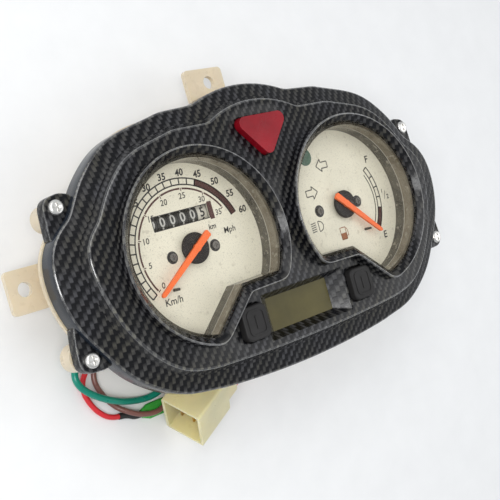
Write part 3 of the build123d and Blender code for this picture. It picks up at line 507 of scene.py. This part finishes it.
# Painted highlight: a pale line along the step in the lens wall, in place of the reflection on that edge.
painted_rim_highlight = lens.math("MULTIPLY", lens.remap(height, (DEPTH - 9.7) * MM, (DEPTH - 9.5) * MM),
                     lens.remap(height, (DEPTH - 9.4) * MM, (DEPTH - 9.2) * MM, 1.0, 0.0))
low_band = lens.mix(smear, (0.075, 0.068, 0.055), (0.17, 0.155, 0.12))
high_band = lens.mix(smear, (0.16, 0.135, 0.095), (0.3, 0.265, 0.2))
fleck = lens.remap(lens.noise(420.0, 1.0), 0.62, 0.7, 0.0, 0.5)
cup_tone = lens.mix(fleck, lens.mix(cup_step, low_band, high_band), (0.45, 0.42, 0.34))
lens.put("Base Color", lens.mix(painted_rim_highlight, cup_tone, (0.6, 0.57, 0.5)))
dust = lens.remap(lens.noise(1500.0, 2.0), 0.6, 0.78, 0.025, 0.25)
lens.put("Alpha", lens.node("ShaderNodeMix", {}, i0=window, i2=0.86, i3=dust).outputs[0])
wear(["left_lens", "right_lens"], lens)

wear(["triangle_lens"], moulded("red_lens", (0.27, 0.004, 0.012), 0.3, 0.3, 0.12, Specular_IOR_Level=0.2,
                                       Coat_Weight=0.08))
wear(["left_button", "right_button"], moulded("button_rubber", (0.022, 0.021, 0.021), 0.5, 0.3, 0.5,
                                                        Specular_IOR_Level=0.25))
lcd = moulded("clock_glass", (0.088, 0.074, 0.02), 0.16, 0.25, 0.02, Specular_IOR_Level=0.22)
wear(["lcd_glass"], lcd)
wear(["lcd_backlight"], moulded("backlight", (0.2, 0.18, 0.08), 0.4))
wear(["clock_board"], moulded("board", (0.02, 0.09, 0.03), 0.4, 0.3))
dial = moulded("dial_paper", (0.8, 0.755, 0.6), 0.42, 0.06, 0.08, marks=0.3, mark_colour=(0.34, 0.29, 0.2))
wear(["speedo_dial", "fuel_dial"], dial)
wear(["speedo_needle", "fuel_needle"], moulded("needle_orange", (1.0, 0.16, 0.022), 0.38, 0.08, 0.05))
black = moulded("black_plastic", (0.014, 0.011, 0.011), 0.4, 0.5, 0.3, marks=0.35,
                mark_colour=(0.15, 0.12, 0.1), Specular_IOR_Level=0.25)
wear(["speedo_hub_disc", "fuel_hub_disc", "button_switches"], black)
steel = moulded("steel", (0.6, 0.6, 0.62), 0.3, 0.1, 0.1, Metallic=1.0)
wear(["speedo_shaft", "fuel_shaft", "input_spindle", "odometer_axle"], steel)
wear(["stop_pins"], moulded("blued_pin", (0.04, 0.035, 0.03), 0.4, 0.3, 0.1))
zinc = moulded("zinc_screw", (0.78, 0.77, 0.74), 0.3, 0.3, 0.4, marks=0.4, Metallic=1.0)
wear(["case_screws"], zinc)
wear(["dial_screws"], moulded("dark_screw", (0.16, 0.15, 0.135), 0.45, 0.5, 0.4, Metallic=0.6))
wear(["drag_cup", "speedo_frame", "speedo_spigot"], moulded("die_cast", (0.5, 0.5, 0.51), 0.42, 0.15, 0.4,
                                                                   Metallic=1.0))
wear(["magnet", "fuel_rotor"], moulded("magnet", (0.05, 0.05, 0.055), 0.5, 0.2, 0.3))
brass = moulded("brass", (0.62, 0.36, 0.1), 0.34, 0.25, 0.2, Metallic=1.0)
wear(["hairspring", "connector_terminals", "lead_terminal"], brass)
gear = moulded("gear_plastic", (0.72, 0.71, 0.66), 0.42, 0.08, 0.1)
wear(["lay_shaft", "odometer_bracket", "odometer_wheel", "fuel_movement", "light_box"], gear)
case = moulded("case_plastic", (0.66, 0.565, 0.42), 0.3, 0.1, 0.2, marks=0.12, Subsurface_Weight=0.25,
               Subsurface_Radius=(0.006, 0.005, 0.003), Subsurface_Scale=1.0)
wear(["rear_case"], case)
rubber = moulded("black_rubber", (0.02, 0.02, 0.02), 0.5, 0.3, 0.4)
wear(["bulb_holders", "wire_grommets"], rubber)
wear(["bulbs"], moulded("bulb_glass", (0.8, 0.8, 0.78), 0.1, 0.05, 0.02, Alpha=0.5))
nylon = moulded("connector_nylon", (0.7, 0.62, 0.36), 0.33, 0.1, 0.15, Subsurface_Weight=0.5,
                Subsurface_Radius=(0.008, 0.006, 0.003), Subsurface_Scale=1.0)
wear(["connector_housing"], nylon)
wear(["lead_sleeve"], moulded("green_sleeve", (0.05, 0.42, 0.06), 0.22, 0.15, 0.1, Alpha=0.82))
wear([f"odometer_drum_{k}" for k in range(1, 6)], moulded("drum_black", (0.03, 0.03, 0.027), 0.4, 0.2))
wear(["odometer_drum_6"], moulded("drum_white", (0.62, 0.59, 0.5), 0.4, 0.08))


# ---------------------------------------------------------------- print on the dials
INK_LIFT = 0.035         # above the dial's paper
CAPITAL_SHARE = 0.7      # a capital's height, as a share of the font's size


class Print:
    """Flat ink shapes on a dial, in millimetres about the gauge's centre."""

    def __init__(self, across, up=0.0):
        self.bm = bmesh.new()
        self.across = across
        self.up = up

    def patch(self, points, material=0):
        height = DIAL_TOP + INK_LIFT
        verts = [self.bm.verts.new(spot(self.across + x, y + self.up, height)) for x, y in points]
        made = self.bm.faces.new(verts)
        made.normal_update()
        if made.normal.z < 0:
            made.normal_flip()
        made.material_index = material

    def band(self, inner, outer, start, end, material=0, step=3.0):
        """Part of a ring between two directions in degrees."""
        count = max(1, round(abs(end - start) / step))
        for k in range(count):
            a = radians(start + (end - start) * k / count)
            b = radians(start + (end - start) * (k + 1) / count)
            self.patch([(inner * cos(a), inner * sin(a)), (outer * cos(a), outer * sin(a)),
                        (outer * cos(b), outer * sin(b)), (inner * cos(b), inner * sin(b))], material)

    def line(self, a, b, width=0.35, material=0):
        ax, ay = a
        bx, by = b
        size = hypot(bx - ax, by - ay)
        nx, ny = -(by - ay) / size * width / 2, (bx - ax) / size * width / 2
        self.patch([(ax + nx, ay + ny), (ax - nx, ay - ny), (bx - nx, by - ny), (bx + nx, by + ny)], material)

    def path(self, points, width=0.35, material=0, closed=False):
        for a, b in zip(points, points[1:] + (points[:1] if closed else [])):
            self.line(a, b, width, material)

    def tick(self, angle, inner, outer, width=0.35, material=0):
        a = radians(angle)
        self.line((inner * cos(a), inner * sin(a)), (outer * cos(a), outer * sin(a)), width, material)

    def disc(self, x, y, r, material=0, sides=28):
        angles = [2 * pi * k / sides for k in range(sides)]
        self.patch([(x + r * cos(a), y + r * sin(a)) for a in angles], material)

    def text(self, words, x, y, size, bold=0.012):
        """Words centred on x, y, with figures of the given height."""
        for verts in text_faces(words, size, bold, slant=0.1):
            self.patch([(x + px, y + py) for px, py in verts])

    def object(self, name, shaders):
        mesh = bpy.data.meshes.new(name)
        self.bm.to_mesh(mesh)
        self.bm.free()
        for shader in shaders:
            mesh.materials.append(shader.material)
        made = add_object(name, mesh)
        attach(made, "cluster")
        return made


def text_faces(words, size, bold, slant):
    """Faces of words as lists of (x, y), centred on 0, 0, with capitals size high."""
    curve = bpy.data.curves.new("lettering", "FONT")
    curve.body = words
    curve.align_x = "CENTER"
    curve.align_y = "CENTER"
    curve.offset = bold
    curve.shear = slant
    curve.resolution_u = 3
    holder = add_object("lettering", curve)
    bpy.context.view_layer.update()
    mesh = bpy.data.meshes.new_from_object(holder.evaluated_get(bpy.context.evaluated_depsgraph_get()))
    scale = size / CAPITAL_SHARE
    faces = [[(mesh.vertices[v].co.x * scale, mesh.vertices[v].co.y * scale) for v in p.vertices]
             for p in mesh.polygons]
    bpy.data.objects.remove(holder)
    bpy.data.curves.remove(curve)
    bpy.data.meshes.remove(mesh)
    return faces


SPEED_ZERO = 213.3
SPEED_STEP = 3.24
TRACK_SHIFT = (-0.8, 0.9)      # the scale's centre, from the needle's axis
KMH_IN_5_MPH = 8.047
speed = Print(-GAUGE_X)
track = Print(-GAUGE_X + TRACK_SHIFT[0], TRACK_SHIFT[1])


def speed_angle(value):
    return SPEED_ZERO - SPEED_STEP * value


track_in, track_out = 27.0, 29.9
track.band(track_out - 0.35, track_out + 0.25, speed_angle(0), speed_angle(60))
track.band(track_in - 0.25, track_in + 0.35, speed_angle(0), speed_angle(60))
for k in range(19):
    track.tick(speed_angle(2.5 * k), track_in, track_out, 0.6)
track.band(track_in, track_out, speed_angle(45), speed_angle(60), 1)
for k in range(8):
    mph_from, mph_to = speed_angle(KMH_IN_5_MPH * k), speed_angle(KMH_IN_5_MPH * (k + 1))
    if k < 7:
        track.band(24.9, 25.7, mph_from - 1.2, mph_to + 1.2, 1)
    track.tick(mph_from, 24.2, 25.6, 0.4, 1)
    track.text(str(5 * k), 22.1 * cos(radians(mph_from)), 22.1 * sin(radians(mph_from)), 2.5)
for k in range(13):
    a = radians(speed_angle(5 * k))
    reach = 32.9 if 0 < k < 12 else 33.2
    speed.text(str(5 * k), reach * cos(a), reach * sin(a), 2.9, 0.03)
for x, y in ((-11.2, -1.2), (11.6, -1.2)):
    speed.disc(x, y, 2.7)
track.object("speedo_scale", [PRINT_BLACK, PRINT_RED])
speed.text("km", 12.9, 6.9, 2.3, 0.02)
speed.text("Mph", 21.5, 3.7, 2.6)
speed.text("Km/h", -16.3, -18.6, 2.9, 0.014)
speed.patch([(13.3, DRUM_Y - 3.9), (15.7, DRUM_Y - 3.9), (15.7, DRUM_Y + 3.9), (13.3, DRUM_Y + 3.9)], 1)
speed.path([(-16.2, DRUM_Y - 3.1), (13.2, DRUM_Y - 3.1), (13.2, DRUM_Y + 3.1), (-16.2, DRUM_Y + 3.1)],
           closed=True)
speed.object("speedo_print", [PRINT_BLACK, PRINT_RED])

fuel = Print(GAUGE_X)
fuel.text("F", 24.5, 18.4, 3.4, 0.02)
fuel.text("E", 23.6, -20.4, 3.4, 0.02)
fuel.text("1", 29.4, 0.9, 2.0, 0.02)
fuel.line((30.0, -3.2), (31.6, 0.9), 0.3)
fuel.text("2", 32.6, -2.4, 2.3, 0.02)
fuel.band(26.8, 27.4, -39, 33)
fuel.band(24.3, 24.9, -39, 33)
fuel.band(22.6, 23.15, -39, 29)
for angle in (33, 21, 9, -2.5, -14.5):
    fuel.tick(angle, 24.5, 27.2, 0.6)
fuel.band(24.5, 27.2, -14.5, -39, 1)
for x, y in ((10.5, -0.3), (-15.6, 0.1)):
    fuel.disc(x, y, 2.9)


def arrow(x, y, way):
    """Outline of a turn arrow that points left for -1 and right for 1."""
    shape = [(-3.9, 0), (-0.6, 3.1), (-0.6, 1.5), (3.5, 1.5), (3.5, -1.5), (-0.6, -1.5), (-0.6, -3.1)]
    fuel.path([(x - way * px, y + py) for px, py in shape], 0.5, 0, closed=True)


arrow(-6.2, 21.1, -1)
arrow(-17.4, 9.4, 1)
lamp = [(-18.6 + 3.0 * cos(radians(a)), -6.8 + 2.5 * sin(radians(a))) for a in range(-90, 91, 15)]
fuel.path(lamp, 0.45, 0, closed=True)
for k in range(5):
    fuel.line((-23.4, -4.9 - k * 1.0), (-20.2, -4.6 - k * 1.0), 0.42)
pump_x, pump_y = -3.6, -13.5
fuel.path([(pump_x - 2.3, pump_y - 2.9), (pump_x + 1.3, pump_y - 2.9), (pump_x + 1.3, pump_y + 2.9),
           (pump_x - 2.3, pump_y + 2.9)], 0.4, 2, closed=True)
fuel.patch([(pump_x - 2.3, pump_y - 2.9), (pump_x + 1.3, pump_y - 2.9), (pump_x + 1.3, pump_y + 0.2),
            (pump_x - 2.3, pump_y + 0.2)], 2)
fuel.path([(pump_x + 1.3, pump_y - 1.4), (pump_x + 2.5, pump_y - 1.4), (pump_x + 2.5, pump_y + 1.2),
           (pump_x + 1.7, pump_y + 2.5)], 0.35, 2)
fuel.disc(-15.5, 26.7, 4.2, 3)
green = moulded("lamp_green", (0.05, 0.12, 0.07), 0.3, 0.2, 0.05)
fuel.object("fuel_print", [PRINT_BLACK, PRINT_RED, PRINT_ORANGE, green])


# ---------------------------------------------------------------- odometer figures, wrapped on their drums
FIGURE_HIGH = 4.1
FIGURE_LIFT = 0.04       # above the drum's face
FIGURE_SLICE = 0.42      # height of the strips that a flat figure is cut into, so that it can bend


def wrapped_figures(number, shader):
    """The ten figures around one drum, as a thin raised skin."""
    bm = bmesh.new()
    middle = -GAUGE_X + DRUM_START + (number - 1) * DRUM_PITCH + 0.15 + (DRUM_PITCH - 0.3) / 2
    r = DRUM_R + FIGURE_LIFT
    for figure in range(10):
        shown = 5 if number == DRUM_COUNT else 0
        turn = radians(36.0 * (figure - shown))
        flat = bmesh.new()
        for face in text_faces(str(figure), FIGURE_HIGH, bold=0.02, slant=0.0):
            flat.faces.new([flat.verts.new((x * 0.95, y, 0)) for x, y in face])
        for k in range(-5, 6):
            bmesh.ops.bisect_plane(flat, geom=flat.verts[:] + flat.edges[:] + flat.faces[:], dist=1e-5,
                                   plane_co=(0, k * FIGURE_SLICE, 0), plane_no=(0, 1, 0))
        made = {}
        for vert in flat.verts:
            angle = vert.co.y / r - turn
            made[vert] = bm.verts.new(spot(middle + vert.co.x, DRUM_Y + r * sin(angle),
                                           DRUM_Z + r * cos(angle)))
        for face in flat.faces:
            bm.faces.new([made[v] for v in face.verts])
        flat.free()
    mesh = bpy.data.meshes.new(f"drum_{number}_figures")
    bm.to_mesh(mesh)
    bm.free()
    mesh.materials.append(shader.material)
    made = add_object(mesh.name, mesh)
    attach(made, f"drum_{number}")


for drum in range(1, DRUM_COUNT + 1):
    wrapped_figures(drum, PRINT_PALE if drum < DRUM_COUNT else PRINT_BLACK)

# ---------------------------------------------------------------- wires
SHELF = -38.0
GROMMETS = [(-80.0, -22.0), (14.0, -41.0)]
GROMMET_FACE = SHELF - 1.7
PLUG_CORNER = (-58.3, -74.4)
PLUG_TURN = radians(28.7)
PLUG_TILT = radians(42.0)
PLUG_WIDE = 24.0
PLUG_THICK = 20.0
PLUG_LONG = 31.0
WAY_PITCH = (7.6, 6.4)
axis = Vector((cos(PLUG_TURN), sin(PLUG_TURN), 0))
lean = Vector((-axis.y * cos(PLUG_TILT), axis.x * cos(PLUG_TILT), sin(PLUG_TILT)))
rise = axis.cross(lean)
plug_mouth = spot(*PLUG_CORNER, -DEPTH) / MM + lean * (PLUG_WIDE / 2) + rise * (PLUG_THICK / 2)
ways = [(i * WAY_PITCH[0], j * WAY_PITCH[1]) for i in (-1, 0, 1) for j in (-1, 0, 1)]


def places(*route):
    """Route points from the face's own x, y and height."""
    return [spot(*point) for point in route]


def grommet_exit(grommet, angle, out):
    """Where a wire leaves a grommet, out millimetres from its middle."""
    x, y = GROMMETS[grommet]
    return spot(x + out * cos(radians(angle)), y + out * sin(radians(angle)), GROMMET_FACE)


def beside_plug(*route):
    """Route points along and beside the plug's resting edge, with their heights."""
    across = Vector((-axis.y, axis.x, 0))
    return [spot(*PLUG_CORNER, height) + (axis * along + across * aside) * MM
            for along, aside, height in route]


def plug_entry(way, along=PLUG_LONG):
    """Point on the line of one of the plug's nine ways."""
    x, y = ways[way]
    return (plug_mouth + axis * along + lean * x + rise * y) * MM


def wire(name, route, diameter, shader, cad_node):
    """A covered wire: a smooth curve on its route, in place of its CAD node."""
    curve = bpy.data.curves.new(name, "CURVE")
    curve.dimensions = "3D"
    curve.resolution_u = 10
    curve.bevel_depth = diameter / 2 * MM
    curve.bevel_resolution = 5
    curve.use_fill_caps = True
    spline = curve.splines.new("NURBS")
    spline.points.add(len(route) - 1)
    for point, place in zip(spline.points, route):
        point.co = (*place, 1.0)
    spline.order_u = 3
    spline.use_endpoint_u = True
    curve.materials.append(shader.material)
    made = add_object(name, curve)
    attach(made, "cluster")
    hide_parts(cad_node)


TEAL_D = 3.0
THIN_D = 2.4
down = Vector((0, 0, -MM))
teal_out = grommet_exit(0, 141, 2.3)
brown_out = grommet_exit(0, -39, 2.3)
lamp_out = grommet_exit(0, 231, 2.8)
blue_out = grommet_exit(1, 90, 1.8)
red_out = grommet_exit(1, 270, 1.8)
lamp_end = spot(-81.0, -61.7, -54.6)
TEAL = moulded("teal_cover", (0.0, 0.235, 0.165), 0.3, 0.08, 0.1)
BROWN = moulded("brown_cover", (0.20, 0.085, 0.07), 0.32, 0.1, 0.1)
BLUE = moulded("blue_cover", (0.03, 0.06, 0.38), 0.3, 0.08, 0.1)
RED = moulded("red_cover", (0.66, 0.02, 0.03), 0.3, 0.08, 0.1)

wire("teal_lead", [teal_out, teal_out + down * 3.6]
     + places((-83.6, -22.3, -47.1), (-90.5, -29.2, -49.2), (-95.7, -33.2, -49.3), (-99.0, -37.9, -48.6),
              (-97.3, -43.7, -48.6), (-91.1, -49.3, -49.2), (-83.3, -54.0, -49.8), (-74.2, -57.2, -53.0),
              (-65.0, -59.0, -54.4))
     + beside_plug((9, 13.8, -54.4), (19, 14.0, -54.4), (29, 15.3, -54.4), (37.6, 15.3, -54.4),
                   (43.0, 11.7, -52.7), (45.1, 5.9, -50.0), (43.0, 0.2, -47.3))
     + [plug_entry(1, 37.6), plug_entry(1)], TEAL_D, TEAL, "teal_wire")
wire("brown_lead", [brown_out, brown_out + down * 4.4]
     + places((-80.4, -26.0, -49.3), (-82.0, -32.5, -53.8), (-86.2, -37.9, -54.7), (-87.8, -44.1, -54.7),
              (-85.4, -50.8, -54.7), (-81.9, -56.6, -54.6), (-77.9, -60.6, -52.0), (-71.5, -64.4, -50.6),
              (-62.4, -65.9, -50.6))
     + beside_plug((13, 8.6, -53.0), (20, 6.7, -54.7), (27, 5.6, -54.7), (36, 4.9, -54.7), (40.3, 6.3, -51.9),
                   (41.9, 8.5, -47.4), (40.3, 10.7, -43.0))
     + [plug_entry(6, 36.0), plug_entry(6)], THIN_D, BROWN, "brown_wire")
wire("blue_lead", [blue_out, blue_out + down * 4.8]
     + places((12.0, -40.8, -48.8), (5.0, -46.5, -50.5), (-4.5, -54.0, -48.5), (-12.5, -59.0, -43.5),
              (-18.5, -60.3, -38.5))
     + [plug_entry(5, 37.5), plug_entry(5)], THIN_D, BLUE, "blue_wire")
wire("red_lead", [red_out, red_out + down * 4.8]
     + places((12.2, -44.8, -49.0), (5.0, -51.0, -51.5), (-4.0, -58.0, -51.0), (-12.5, -62.8, -47.0))
     + [plug_entry(2, 39.0), plug_entry(2)], THIN_D, RED, "red_wire")
wear(["heat_shrink"], rubber)
wire("lamp_wire", [lamp_out, lamp_out + down * 4.4]
     + places((-84.0, -27.4, -49.3), (-87.1, -34.5, -53.8), (-90.7, -38.6, -54.6), (-93.6, -43.0, -54.6),
              (-93.7, -47.9, -54.6), (-91.9, -53.0, -54.6), (-89.3, -57.2, -54.6), (-85.0, -61.0, -54.6))
     + [lamp_end], THIN_D, RED, "lamp_lead")

# ---------------------------------------------------------------- floor, lights and camera
FLOOR_HALF = 2.5
FLOOR_GAP = 0.0001
WORLD_STRENGTH = 0.56
floor_mesh = bpy.data.meshes.new("floor")
floor_corners = [(x * FLOOR_HALF, y * FLOOR_HALF, 0) for x, y in ((-1, -1), (1, -1), (1, 1), (-1, 1))]
floor_mesh.from_pydata(floor_corners, [], [(0, 1, 2, 3)])
floor = add_object("floor", floor_mesh)
floor.location.z = cad_low.z - FLOOR_GAP
floor_shader = moulded("floor_white", (0.86, 0.865, 0.87), 0.55, 0.02, 0.02)
floor_mesh.materials.append(floor_shader.material)

world = bpy.data.worlds.new("studio")
bpy.context.scene.world = world
world.use_nodes = True
background = world.node_tree.nodes["Background"]
background.inputs["Color"].default_value = (0.95, 0.975, 1.0, 1.0)
background.inputs["Strength"].default_value = WORLD_STRENGTH


def soft_light(name, place, size, power):
    """Rectangular light that faces the middle of the object."""
    data = bpy.data.lights.new(name, "AREA")
    data.shape = "RECTANGLE"
    data.size, data.size_y = size
    data.energy = power
    made = add_object(name, data)
    made.location = place
    made.rotation_mode = "QUATERNION"
    made.rotation_quaternion = (Vector((0, 0, 0.03)) - Vector(place)).to_track_quat("-Z", "Y")


soft_light("key", (-0.55, 0.75, 0.95), (0.9, 0.7), 4.8)
soft_light("fill", (0.9, -0.2, 0.9), (0.8, 0.8), 2.8)
soft_light("front", (-0.5, -0.02, 0.62), (0.16, 0.4), 2.6)

CAMERA_AT = Vector((-263.25, -2.92, 354.81)) * MM
CAMERA_AIM = Vector((-23.93, -15.41, 50.0)) * MM
CAMERA_ROLL = radians(76.5)
CAMERA_LENS = 64.8
camera_data = bpy.data.cameras.new("camera")
camera_data.lens = CAMERA_LENS
camera_data.sensor_width = 36.0
camera_data.clip_start = 0.01
camera = add_object("camera", camera_data)
camera.location = CAMERA_AT
camera.rotation_mode = "QUATERNION"
camera.rotation_quaternion = ((CAMERA_AIM - CAMERA_AT).to_track_quat("-Z", "Y")
                              @ Quaternion((0, 0, 1), CAMERA_ROLL))
bpy.context.scene.camera = camera
bpy.context.scene.view_settings.view_transform = "Standard"
